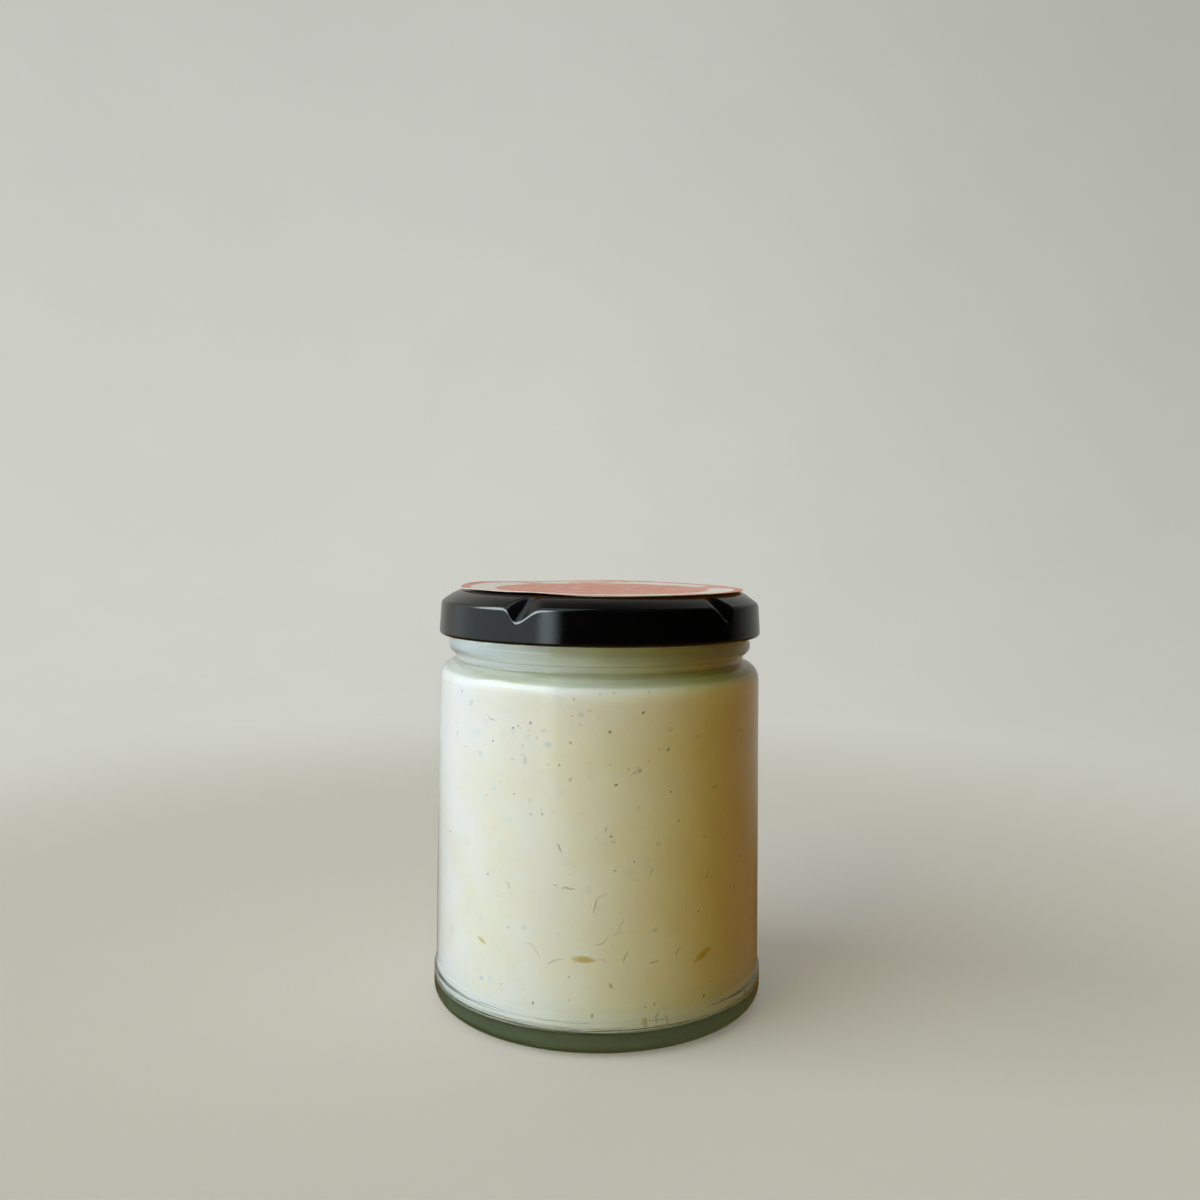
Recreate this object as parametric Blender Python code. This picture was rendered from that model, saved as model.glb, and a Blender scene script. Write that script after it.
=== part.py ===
# Jar of horseradish sauce: clear glass jar, sauce, black twist-off lid and the round sticker on top.
# Metres, +Z up. The origin is the centre of the ring that the jar stands on, at the bottom.
# The front faces -Y. An azimuth is in degrees from the front, positive towards +X.
# A profile is a list of (radius, height, kind) rows, turned round the Z axis.

import math

import bmesh
import bpy
from mathutils import Vector

MM = 0.001
POLE = 1e-9
WELD = 1e-7
SHARP_ANGLE = math.radians(40)
CONTACT_GAP = 0.3 * MM

# Glass jar: base and heel
BEARING_INNER = 30.2 * MM
PUSH_UP = 1.6 * MM
PUSH_UP_EDGE = (24.0 * MM, 1.3 * MM)
HEEL_RADIUS = 37.3 * MM
HEEL_ROUND = 3.1 * MM
HEEL_TOP = 6.8 * MM
HEEL_STEP_RISE = 0.6 * MM

# Glass jar: body, shoulder, neck and the bead under the lid
BODY_FOOT_RADIUS = 36.85 * MM
BODY_TOP_RADIUS = 36.5 * MM
SHOULDER_START = 71.9 * MM
SHOULDER_ROUND = 4.0 * MM
SHOULDER_SWEEP = 68
NECK_RADIUS = 32.9 * MM
NECK_START = 76.5 * MM
NECK_FILLET = (0.3 * MM, 0.4 * MM)
BEAD_Z = 79.6 * MM
BEAD_ROUND = 2.0 * MM
BEAD_RADIUS = 34.5 * MM
BEAD_SWEEP = (-76, 62)

# Glass jar: threaded neck, rim and inside
FINISH_RADIUS = 32.4 * MM
FINISH_START = 82.0 * MM
RIM_TOP = 90.9 * MM
RIM_OUTER_ROUND = 1.2 * MM
RIM_INNER_ROUND = 0.5 * MM
MOUTH_RADIUS = 30.3 * MM
MOUTH_START = 75.3 * MM
BORE_RADIUS = 34.3 * MM
FLOOR_Z = 4.4 * MM
FLOOR_CROWN = 0.5 * MM
FLOOR_ROUND = 1.8 * MM
JAR_SEGMENTS = 72

# Thread leads on the neck, each a short ridge that falls to the right
THREAD_LEADS = 4
THREAD_MIDDLE = 85.5 * MM
THREAD_FALL = 2.2 * MM
THREAD_HALF_HEIGHT = 0.9 * MM
CREST_HALF_HEIGHT = 0.3 * MM
THREAD_DEPTH = 1.1 * MM
THREAD_SPAN = 72.0
THREAD_TAPER = 10.0

# Sauce
SAUCE_TOP = 72.8 * MM
SAUCE_WAVE = 0.25 * MM
SAUCE_RINGS = (0.85, 0.62, 0.36)
SAUCE_SEGMENTS = 60

# Lid
LID_RADIUS = 36.7 * MM
LID_BOTTOM = 81.8 * MM
LID_SHEET = 0.45 * MM
PANEL_Z = 91.7 * MM
PANEL_RADIUS = 31.6 * MM
PANEL_ROUND = 1.0 * MM
SLOPE_NORMAL = 62
SLOPE_BULGE = 0.2 * MM
SLOPE_SHARES = (0.35, 0.7)
RIDGE_CENTRE = (35.6 * MM, 88.95 * MM)
RIDGE_ROUND = 0.65 * MM
SKIRT_NORMAL = 4
SKIRT_MIDDLE = (36.42 * MM, 86.0 * MM)
CURL_ROUND = 0.8 * MM
CURL_TOP = 83.6 * MM
CURL_LIP = 83.1 * MM
LUG_REACH = 1.0 * MM
LUG_MIDDLE = 44.0
LUG_HALF_SPAN = 18.0
LID_SEGMENTS = 90

# Wedge-shaped dents in the lid's shoulder. The keel of each runs from the edge of the top panel (head) out
# to the skirt (foot), and its flanks reach so many degrees to the left and right of the foot.
DENTS = (
    {"head": -25.5, "foot": -28.0, "left": 5.0, "right": 9.0},
    {"head": 45.0, "foot": 48.0, "left": 7.0, "right": 2.5},
    {"head": 86.0, "foot": 88.0, "left": 9.0, "right": 8.0},
    {"head": 162.0, "foot": 160.0, "left": 9.0, "right": 5.0},
    {"head": -110.0, "foot": -108.0, "left": 5.0, "right": 8.0},
)
KEEL_HEAD = (32.2 * MM, 91.5 * MM)
KEEL_FOOT = (36.5 * MM, 86.15 * MM)
DENT_SHEET = 0.65 * MM

# Sticker
STICKER_RADIUS = 32.3 * MM
STICKER_SHEET = 0.2 * MM
STICKER_OFFSET = (0.4 * MM, -0.1 * MM)
STICKER_BOTTOM = PANEL_Z + CONTACT_GAP
STICKER_RINGS = (0.55, 0.85, 1.0)
STICKER_SEGMENTS = 60
EDGE_POWER = 4

# Where the sticker's edge has come up or drooped: azimuth, height and half width in degrees
EDGE_LIFTS = (
    {"azimuth": -28.0, "height": 0.36 * MM, "width": 14.0},
    {"azimuth": -56.0, "height": 0.34 * MM, "width": 16.0},
    {"azimuth": -112.0, "height": 0.6 * MM, "width": 26.0},
    {"azimuth": 5.0, "height": -0.14 * MM, "width": 22.0},
    {"azimuth": 172.0, "height": 0.4 * MM, "width": 34.0},
)


def clear_scene():
    for item in list(bpy.data.objects):
        bpy.data.objects.remove(item, do_unlink=True)


def plain(points):
    """Rows that keep their turned shape."""
    return [(r, z, "plain") for r, z in points]


def arc(centre_r, centre_z, radius, start, end, steps, kind="plain"):
    """Rows along an arc; angles in degrees above the outward direction."""
    rows = []
    for index in range(steps + 1):
        angle = math.radians(start + (end - start) * index / steps)
        rows.append((centre_r + radius * math.cos(angle), centre_z + radius * math.sin(angle), kind))
    return rows


def turn_from(azimuth, reference):
    """Signed angle in degrees from the reference azimuth, between -180 and 180."""
    return (azimuth - reference + 180.0) % 360.0 - 180.0


def smooth_hill(distance, half_width):
    """1 in the middle, falling smoothly to 0 at the half width."""
    if abs(distance) >= half_width:
        return 0.0
    return 0.5 + 0.5 * math.cos(math.pi * distance / half_width)


def turned_object(name, profile, segments, reshape=None):
    """Spins a profile from pole to pole into one closed body, then moves each point by its row's kind."""
    shape = bmesh.new()
    row = shape.verts.layers.int.new("row")
    verts = []
    for index, (r, z, _) in enumerate(profile):
        vert = shape.verts.new((max(r, POLE), 0.0, z))
        vert[row] = index
        verts.append(vert)
    edges = [shape.edges.new(pair) for pair in zip(verts, verts[1:])]
    bmesh.ops.spin(
        shape,
        geom=verts + edges,
        cent=(0.0, 0.0, 0.0),
        axis=(0.0, 0.0, 1.0),
        angle=math.tau,
        steps=segments,
        use_merge=True,
        use_duplicate=False,
    )
    bmesh.ops.remove_doubles(shape, verts=shape.verts, dist=WELD)
    if reshape:
        for vert in shape.verts:
            radius = math.hypot(vert.co.x, vert.co.y)
            azimuth = math.degrees(math.atan2(vert.co.x, -vert.co.y))
            radius, z = reshape(radius, vert.co.z, azimuth, profile[vert[row]][2])
            angle = math.radians(azimuth)
            vert.co = Vector((radius * math.sin(angle), -radius * math.cos(angle), z))
    bmesh.ops.recalc_face_normals(shape, faces=shape.faces)
    mesh = bpy.data.meshes.new(name)
    shape.to_mesh(mesh)
    shape.free()
    mesh.shade_smooth()
    mesh.set_sharp_from_angle(angle=SHARP_ANGLE)
    made = bpy.data.objects.new(name, mesh)
    bpy.context.scene.collection.objects.link(made)
    return made


def finish(made, name, colour, roughness, transmission=0.0):
    material = bpy.data.materials.new(name)
    material.use_nodes = True
    shader = material.node_tree.nodes["Principled BSDF"]
    shader.inputs["Base Color"].default_value = (*colour, 1.0)
    shader.inputs["Roughness"].default_value = roughness
    shader.inputs["Metallic"].default_value = 0.0
    shader.inputs["Transmission Weight"].default_value = transmission
    material.diffuse_color = (*colour, 1.0)
    made.data.materials.append(material)


def jar_foot():
    """From the middle of the pushed-up base, round the heel, to the small step above the heel band."""
    rows = plain([(0.0, PUSH_UP), PUSH_UP_EDGE, (BEARING_INNER, 0.0)])
    rows += arc(HEEL_RADIUS - HEEL_ROUND, HEEL_ROUND, HEEL_ROUND, -90, 0, 4)
    rows += plain([(HEEL_RADIUS, HEEL_TOP), (BODY_FOOT_RADIUS, HEEL_TOP + HEEL_STEP_RISE)])
    return rows


def jar_neck():
    """Over the shoulder, up the neck and bead, and up the threaded wall to the top of the rim."""
    rows = arc(BODY_TOP_RADIUS - SHOULDER_ROUND, SHOULDER_START, SHOULDER_ROUND, 0, SHOULDER_SWEEP, 4)
    rows += plain([(NECK_RADIUS + NECK_FILLET[0], NECK_START - NECK_FILLET[1]), (NECK_RADIUS, NECK_START)])
    rows += arc(BEAD_RADIUS - BEAD_ROUND, BEAD_Z, BEAD_ROUND, *BEAD_SWEEP, 5)
    rows += plain([(FINISH_RADIUS, FINISH_START)])
    rows.append((FINISH_RADIUS, THREAD_MIDDLE - THREAD_HALF_HEIGHT, "thread edge"))
    rows.append((FINISH_RADIUS, THREAD_MIDDLE - CREST_HALF_HEIGHT, "thread crest"))
    rows.append((FINISH_RADIUS, THREAD_MIDDLE + CREST_HALF_HEIGHT, "thread crest"))
    rows.append((FINISH_RADIUS, THREAD_MIDDLE + THREAD_HALF_HEIGHT, "thread edge"))
    rows += arc(FINISH_RADIUS - RIM_OUTER_ROUND, RIM_TOP - RIM_OUTER_ROUND, RIM_OUTER_ROUND, 0, 90, 2)
    return rows


def jar_inside():
    """From the rim, down the mouth and the bore, to the middle of the floor."""
    shoulder_centre = BODY_TOP_RADIUS - SHOULDER_ROUND
    rows = plain([(MOUTH_RADIUS + RIM_INNER_ROUND, RIM_TOP), (MOUTH_RADIUS, RIM_TOP - RIM_INNER_ROUND)])
    rows += plain([(MOUTH_RADIUS, MOUTH_START)])
    rows += arc(shoulder_centre, SHOULDER_START, BORE_RADIUS - shoulder_centre, 80, 0, 3)
    rows += arc(BORE_RADIUS - FLOOR_ROUND, FLOOR_Z + FLOOR_ROUND, FLOOR_ROUND, 0, -90, 3)
    rows += plain([(0.0, FLOOR_Z + FLOOR_CROWN)])
    return rows


def thread_share(azimuth):
    """How much of the ridge stands at an azimuth, and how far along its lead that is."""
    along = azimuth % (360.0 / THREAD_LEADS)
    if along > THREAD_SPAN:
        return 0.0, 0.5
    return min(1.0, min(along, THREAD_SPAN - along) / THREAD_TAPER), along / THREAD_SPAN


def raise_thread(radius, z, azimuth, kind):
    """Lifts the threaded band into short sloping ridges."""
    if not kind.startswith("thread"):
        return radius, z
    share, along = thread_share(azimuth)
    reach = THREAD_DEPTH * share if kind == "thread crest" else 0.0
    return radius + reach, z + THREAD_FALL * (0.5 - along) * share


def build_jar():
    jar = turned_object("glass_jar", jar_foot() + jar_neck() + jar_inside(), JAR_SEGMENTS, raise_thread)
    finish(jar, "clear soda glass", (0.80, 0.88, 0.83), 0.04, transmission=1.0)
    return jar


def settle_sauce(radius, z, azimuth, kind):
    """Leaves the top of the sauce slightly uneven, as it was spooned in."""
    if kind != "top":
        return radius, z
    angle = math.radians(azimuth)
    spread = radius / BORE_RADIUS
    wave = math.sin(2.0 * angle + 0.6) * spread + 0.6 * math.cos(3.0 * angle + 4.0 * spread)
    return radius, z + SAUCE_WAVE * wave


def build_sauce():
    radius = BORE_RADIUS - CONTACT_GAP
    corner = FLOOR_ROUND - CONTACT_GAP
    floor_z = FLOOR_Z + CONTACT_GAP
    shoulder_centre = BODY_TOP_RADIUS - SHOULDER_ROUND
    shoulder_round = radius - shoulder_centre
    shoulder_turn = math.degrees(math.asin((SAUCE_TOP - SHOULDER_START) / shoulder_round))
    rows = plain([(0.0, floor_z + FLOOR_CROWN)])
    rows += arc(radius - corner, floor_z + corner, corner, -90, 0, 3)
    rows += arc(shoulder_centre, SHOULDER_START, shoulder_round, 0, shoulder_turn, 2)
    rows += [(radius * share, SAUCE_TOP, "top") for share in SAUCE_RINGS]
    rows += plain([(0.0, SAUCE_TOP)])
    sauce = turned_object("sauce", rows, SAUCE_SEGMENTS, settle_sauce)
    finish(sauce, "horseradish sauce", (0.80, 0.78, 0.62), 0.35)
    return sauce


def lid_shoulder(inset, side):
    """The slope from the top panel to the ridge and down to the skirt, set in by the inset."""
    panel = arc(PANEL_RADIUS, PANEL_Z - PANEL_ROUND, PANEL_ROUND - inset, 90, SLOPE_NORMAL, 2, side)
    ridge = arc(*RIDGE_CENTRE, RIDGE_ROUND - inset, SLOPE_NORMAL, SKIRT_NORMAL, 3, side)
    start, end = panel[-1], ridge[0]
    slope = []
    for share in SLOPE_SHARES:
        r = start[0] + (end[0] - start[0]) * share
        z = start[1] + (end[1] - start[1]) * share
        slope.append((r, z + SLOPE_BULGE * math.sin(math.pi * share), side))
    return panel + slope + ridge


def lid_profile():
    """From the middle of the panel, down the outside, round the rolled edge and back up the inside."""
    rows = plain([(0.0, PANEL_Z)]) + lid_shoulder(0.0, "outside") + plain([SKIRT_MIDDLE])
    rows += arc(LID_RADIUS - CURL_ROUND, LID_BOTTOM + CURL_ROUND, CURL_ROUND, 0, -90, 2)
    rows += arc(LID_RADIUS - CURL_ROUND, LID_BOTTOM + CURL_ROUND, CURL_ROUND, -135, -180, 1, "lug")
    rows += [(LID_RADIUS - 2 * CURL_ROUND, CURL_LIP, "lug")]
    rows += plain([(LID_RADIUS - 2 * LID_SHEET, CURL_TOP)])
    rows += reversed(lid_shoulder(LID_SHEET, "inside"))
    rows += plain([(0.0, PANEL_Z - LID_SHEET)])
    return rows


def dent_ceiling(radius, azimuth):
    """Height of the lowest wedge over a point of the shoulder."""
    along = (radius - KEEL_HEAD[0]) / (KEEL_FOOT[0] - KEEL_HEAD[0])
    if along <= 0.0:
        return math.inf
    keel_z = KEEL_HEAD[1] + (KEEL_FOOT[1] - KEEL_HEAD[1]) * along
    rise = RIDGE_CENTRE[1] + RIDGE_ROUND - KEEL_FOOT[1]
    lowest = math.inf
    for dent in DENTS:
        away = turn_from(azimuth, dent["head"] + (dent["foot"] - dent["head"]) * along)
        flank = dent["right"] if away > 0 else dent["left"]
        lowest = min(lowest, keel_z + rise * abs(away) / flank)
    return lowest


def shape_lid(radius, z, azimuth, kind):
    """Presses the dents into the shoulder and the lugs in from the rolled edge."""
    if kind == "lug":
        away = turn_from(azimuth % (360.0 / THREAD_LEADS), LUG_MIDDLE)
        return radius - LUG_REACH * smooth_hill(away, LUG_HALF_SPAN), z
    if kind == "outside":
        return radius, min(z, dent_ceiling(radius, azimuth))
    if kind == "inside":
        return radius, min(z, dent_ceiling(radius, azimuth) - DENT_SHEET)
    return radius, z


def build_lid():
    lid = turned_object("lid", lid_profile(), LID_SEGMENTS, shape_lid)
    finish(lid, "black enamelled steel", (0.012, 0.012, 0.013), 0.15)
    return lid


def lift_edge(radius, z, azimuth, kind):
    """Lifts and droops the sticker's edge, most at the rim and not at all in the middle."""
    share = (radius / STICKER_RADIUS) ** EDGE_POWER
    for lift in EDGE_LIFTS:
        away = turn_from(azimuth, lift["azimuth"]) / lift["width"]
        z += lift["height"] * math.exp(-(away**2)) * share
    return radius, z


def build_sticker():
    top = STICKER_BOTTOM + STICKER_SHEET
    radii = [STICKER_RADIUS * share for share in STICKER_RINGS]
    rows = plain([(0.0, top)] + [(r, top) for r in radii])
    rows += plain([(r, STICKER_BOTTOM) for r in reversed(radii)] + [(0.0, STICKER_BOTTOM)])
    sticker = turned_object("sticker", rows, STICKER_SEGMENTS, lift_edge)
    sticker.location = (*STICKER_OFFSET, 0.0)
    finish(sticker, "coral paper", (0.62, 0.22, 0.16), 0.7)
    return sticker


def main():
    clear_scene()
    base = bpy.data.objects.new("jar_of_sauce", None)
    bpy.context.scene.collection.objects.link(base)
    for made in (build_jar(), build_sauce(), build_lid(), build_sticker()):
        made.parent = base


main()
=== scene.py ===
import math
import random

import bmesh
import bpy
from mathutils import Matrix, Vector, noise


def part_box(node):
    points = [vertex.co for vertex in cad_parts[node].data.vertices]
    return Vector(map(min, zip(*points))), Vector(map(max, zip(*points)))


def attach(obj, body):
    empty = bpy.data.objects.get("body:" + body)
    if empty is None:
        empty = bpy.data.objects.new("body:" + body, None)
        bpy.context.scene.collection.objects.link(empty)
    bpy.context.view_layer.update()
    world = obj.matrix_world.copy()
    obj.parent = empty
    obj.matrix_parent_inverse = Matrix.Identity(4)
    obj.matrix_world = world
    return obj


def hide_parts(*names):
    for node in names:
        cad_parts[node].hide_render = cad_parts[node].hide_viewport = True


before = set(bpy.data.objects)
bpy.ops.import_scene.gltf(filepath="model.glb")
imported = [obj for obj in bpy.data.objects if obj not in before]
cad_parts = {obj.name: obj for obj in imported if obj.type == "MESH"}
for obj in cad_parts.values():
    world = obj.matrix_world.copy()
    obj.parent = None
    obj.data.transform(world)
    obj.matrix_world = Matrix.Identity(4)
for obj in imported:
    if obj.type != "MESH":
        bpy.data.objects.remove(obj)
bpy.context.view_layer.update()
print("frame loaded: %d nodes" % len(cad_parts))

# Sizes here are in millimetres. The front faces -Y, and an azimuth is in degrees from the front,
# positive towards +X. An outline is a list of (radius, height) points that gets turned round the Z axis.
mm = 0.001


def nodeBox(node):
    low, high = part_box(node)
    return {"bottom": low.z / mm, "top": high.z / mm, "right": high.x / mm}


jarBox = nodeBox("glass_jar")
lidBox = nodeBox("lid")
stickerBox = nodeBox("sticker")


def onRing(azimuth, radius, z):
    angle = math.radians(azimuth)
    return Vector((radius * math.sin(angle), -radius * math.cos(angle), z)) * mm


def turnFrom(azimuth, reference):
    return (azimuth - reference + 180.0) % 360.0 - 180.0


def smoothStep(value):
    value = min(1.0, max(0.0, value))
    return value * value * (3.0 - 2.0 * value)


def smoothMin(a, b, blend):
    # the lower of two heights, with the crease between them rounded over "blend"
    mix = max(0.0, blend - abs(a - b)) / blend
    return min(a, b) - mix * mix * blend / 4.0


# camera
cameraView = {
    "place": (-0.12, -258.0, 104.4),
    "pitchDown": 0.79,
    "roll": 0.52,
    "lens": 33.48,
    "sensor": 36.0,
    "shiftY": -0.0417,
    "photoWidth": 1200,
}


def buildCamera(c):
    data = bpy.data.cameras.new("photoCamera")
    data.lens = c["lens"]
    data.sensor_width = c["sensor"]
    data.shift_y = c["shiftY"]
    data.clip_start = 0.01
    data.clip_end = 20.0
    camera = bpy.data.objects.new("photoCamera", data)
    bpy.context.scene.collection.objects.link(camera)
    tilt = Matrix.Rotation(math.radians(90.0 - c["pitchDown"]), 4, "X")
    roll = Matrix.Rotation(math.radians(c["roll"]), 4, "Z")
    camera.matrix_world = Matrix.Translation(Vector(c["place"]) * mm) @ tilt @ roll
    bpy.context.scene.camera = camera
    return camera


camera = buildCamera(cameraView)
print("camera ready")


# mesh helpers
def roundCorners(corners, steps=None):
    # corners are (radius, height, rounding); each one becomes an arc that meets both of its sides
    points = [Vector(corners[0][:2])]
    for before, corner, after in zip(corners, corners[1:], corners[2:]):
        here = Vector(corner[:2])
        if corner[2] <= 0.0:
            points.append(here)
            continue
        toBefore = (Vector(before[:2]) - here).normalized()
        toAfter = (Vector(after[:2]) - here).normalized()
        inside = toBefore.angle(toAfter)
        turn = math.pi - inside
        centre = here + (toBefore + toAfter).normalized() * corner[2] / math.sin(inside / 2.0)
        start = here + toBefore * corner[2] / math.tan(inside / 2.0) - centre
        side = 1.0 if toBefore.x * toAfter.y - toBefore.y * toAfter.x < 0.0 else -1.0
        arcSteps = steps or max(2, math.ceil(math.degrees(turn) / 9.0))
        across = Vector((-start.y, start.x)) * side
        for index in range(arcSteps + 1):
            angle = turn * index / arcSteps
            points.append(centre + start * math.cos(angle) + across * math.sin(angle))
    points.append(Vector(corners[-1][:2]))
    return points


def fillLong(points, longest):
    # adds points along straight stretches, so that no face is much longer than "longest"
    filled = [points[0]]
    for before, after in zip(points, points[1:]):
        parts = max(1, math.ceil((after - before).length / longest))
        for index in range(parts):
            filled.append(before + (after - before) * (index + 1) / parts)
    return filled


def evenAzimuths(count):
    return [360.0 * index / count - 180.0 for index in range(count)]


def addPiece(name, verts, faces, materials, slots=None):
    mesh = bpy.data.meshes.new(name)
    mesh.from_pydata(verts, [], faces)
    for material in materials:
        mesh.materials.append(material)
    if slots:
        mesh.polygons.foreach_set("material_index", slots)
    shape = bmesh.new()
    shape.from_mesh(mesh)
    bmesh.ops.recalc_face_normals(shape, faces=shape.faces)
    shape.to_mesh(mesh)
    shape.free()
    mesh.shade_smooth()
    mesh.update()
    piece = bpy.data.objects.new(name, mesh)
    bpy.context.scene.collection.objects.link(piece)
    return piece


def turnedPiece(name, azimuths, outlineAt, materials, slotOfRow=None):
    # outlineAt(azimuth) runs from one pole to the other and always has as many points
    outlines = [outlineAt(azimuth) for azimuth in azimuths]
    rows = len(outlines[0]) - 2
    columns = len(azimuths)
    verts = [onRing(0.0, 0.0, outlines[0][0][1]), onRing(0.0, 0.0, outlines[0][-1][1])]
    for azimuth, outline in zip(azimuths, outlines):
        verts += [onRing(azimuth, point[0], point[1]) for point in outline[1:-1]]
    faces = []
    slots = []
    for column in range(columns):
        here = 2 + column * rows
        there = 2 + (column + 1) % columns * rows
        faces.append((0, here, there))
        faces.append((1, there + rows - 1, here + rows - 1))
        slots += [slotOfRow(0), slotOfRow(rows)] if slotOfRow else [0, 0]
        for row in range(rows - 1):
            faces.append((here + row, here + row + 1, there + row + 1, there + row))
            slots.append(slotOfRow(row + 1) if slotOfRow else 0)
    return addPiece(name, verts, faces, materials, slots)


def dress(piece, node):
    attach(piece, "root")
    if node:
        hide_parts(node)


# material helpers: a noise is (scale, detail, roughness), a bump is (strength, distance in metres) and
# edges are (from, to); patches are (noise, edges) or (noise, edges, ends), and a grain is (noise, bump)
def newMaterial(name):
    material = bpy.data.materials.new(name)
    material.use_nodes = True
    tree = material.node_tree
    place = addNode(tree, "TexCoord").outputs["Object"]
    return material, tree, tree.nodes["Principled BSDF"], place


def feed(tree, socket, value):
    # links another node's output, or sets a constant
    if isinstance(value, bpy.types.NodeSocket):
        tree.links.new(value, socket)
    else:
        socket.default_value = value


def feedAll(tree, node, **sockets):
    for key, value in sockets.items():
        feed(tree, node.inputs[key.replace("_", " ")], value)


def addNode(tree, kind, settings=None, **sockets):
    made = tree.nodes.new("ShaderNode" + kind)
    for key, value in (settings or {}).items():
        setattr(made, key, value)
    feedAll(tree, made, **sockets)
    return made


def noiseOf(tree, place, scale, detail=3.0, roughness=0.5):
    sockets = {"Vector": place, "Scale": scale, "Detail": detail, "Roughness": roughness}
    return addNode(tree, "TexNoise", **sockets).outputs["Fac"]


def axesOf(tree, place):
    return addNode(tree, "SeparateXYZ", Vector=place).outputs[:]


def remap(tree, value, fromLow, fromHigh, toLow=0.0, toHigh=1.0):
    ends = {"From_Min": fromLow, "From_Max": fromHigh, "To_Min": toLow, "To_Max": toHigh}
    made = addNode(tree, "MapRange", {"interpolation_type": "SMOOTHSTEP"}, Value=value, **ends)
    return made.outputs["Result"]


def fallOff(tree, value, edges):
    return remap(tree, value, *edges, 1.0, 0.0)


def patchesOf(tree, place, pattern, edges, ends=(0.0, 1.0)):
    return remap(tree, noiseOf(tree, place, *pattern), *edges, *ends)


def inMetres(edges):
    return [edge * mm for edge in edges]


def calc(tree, operation, a, b=0.0):
    made = addNode(tree, "Math", {"operation": operation})
    feed(tree, made.inputs[0], a)
    feed(tree, made.inputs[1], b)
    return made.outputs["Value"]


def times(tree, product, *others):
    for other in others:
        product = calc(tree, "MULTIPLY", product, other)
    return product


def plus(tree, total, *others):
    for other in others:
        total = calc(tree, "ADD", total, other)
    return total


def azimuthOf(tree, x, y):
    turn = calc(tree, "ARCTAN2", x, times(tree, y, -1.0))
    return times(tree, turn, 180.0 / math.pi)


def vectorCalc(tree, operation, a, b):
    made = addNode(tree, "VectorMath", {"operation": operation})
    feed(tree, made.inputs[0], a)
    feed(tree, made.inputs[1], b)
    return made.outputs["Vector"]


def scaled(tree, colour, strength):
    made = addNode(tree, "VectorMath", {"operation": "SCALE"}, Vector=colour, Scale=strength)
    return made.outputs["Vector"]


def mixColour(tree, factor, a, b):
    made = addNode(tree, "Mix", {"data_type": "RGBA"})
    feed(tree, made.inputs[0], factor)
    for index, colour in ((6, a), (7, b)):
        isLinked = isinstance(colour, bpy.types.NodeSocket)
        feed(tree, made.inputs[index], colour if isLinked else (*colour, 1.0))
    return made.outputs[2]


def mixShader(tree, factor, a, b):
    made = addNode(tree, "MixShader", Fac=factor)
    tree.links.new(a, made.inputs[1])
    tree.links.new(b, made.inputs[2])
    return made.outputs["Shader"]


def bumpOf(tree, height, strength, distance, normal=None):
    made = addNode(tree, "Bump", Height=height, Strength=strength, Distance=distance)
    if normal:
        tree.links.new(normal, made.inputs["Normal"])
    return made.outputs["Normal"]


def grainOf(tree, place, pattern, bump, normal=None):
    return bumpOf(tree, noiseOf(tree, place, *pattern), *bump, normal)


# glass jar
glassJar = {
    "bearingInner": 30.2,
    "pushUp": 1.6,
    "pushUpEdge": (24.0, 1.3),
    "heelRound": 3.1,
    "bandTop": 7.0,
    "bandStep": 0.45,
    "bodyFoot": 36.85,
    "bodyTop": 36.5,
    "shoulderZ": 74.6,
    "shoulderRound": 4.0,
    "neckRadius": 32.9,
    "neckFoot": 76.05,
    "beadFoot": 77.6,
    "beadTop": 81.5,
    "beadRadius": 34.5,
    "beadRound": 1.85,
    "finishRadius": 32.4,
    "rimRound": 1.2,
    "mouthRadius": 30.3,
    "mouthFoot": 75.3,
    "boreRadius": 34.3,
    "boreTop": 72.7,
    "boreTopRound": 2.0,
    "floorZ": 4.4,
    "floorCrown": 0.5,
    "floorRound": 1.8,
    "threadLeads": 4,
    "threadMiddle": 85.5,
    "threadFall": 2.2,
    "threadDepth": 1.1,
    "threadHalfHeight": 0.9,
    "threadSpan": 72.0,
    "threadTaper": 10.0,
    "segments": 288,
    "tint": (0.985, 0.992, 0.985),
    "absorb": (0.33, 0.52, 0.22),
    "absorbDensity": 56.0,
    "streaksFrom": (4.6, 5.6),
    "streaksTo": (8.0, 9.0),
    "streakPitch": (50.0, 50.0, 2600.0),
    "streakBump": (0.5, 0.0005),
    "index": 1.5,
    "roughness": ((90.0, 5.0, 0.65), (0.52, 0.72), (0.004, 0.03)),
    "ripple": ((60.0, 2.0), (0.25, 0.0006)),
}


def threadHeight(g, azimuth, z):
    # how far the short sloping ridges on the neck stand out at a height
    along = azimuth % (360.0 / g["threadLeads"])
    if along > g["threadSpan"]:
        return 0.0
    presence = smoothStep(min(along, g["threadSpan"] - along) / g["threadTaper"])
    middle = g["threadMiddle"] + g["threadFall"] * (0.5 - along / g["threadSpan"])
    away = abs(z - middle) / g["threadHalfHeight"]
    return g["threadDepth"] * presence * (0.5 + 0.5 * math.cos(math.pi * away)) if away < 1.0 else 0.0


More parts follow.
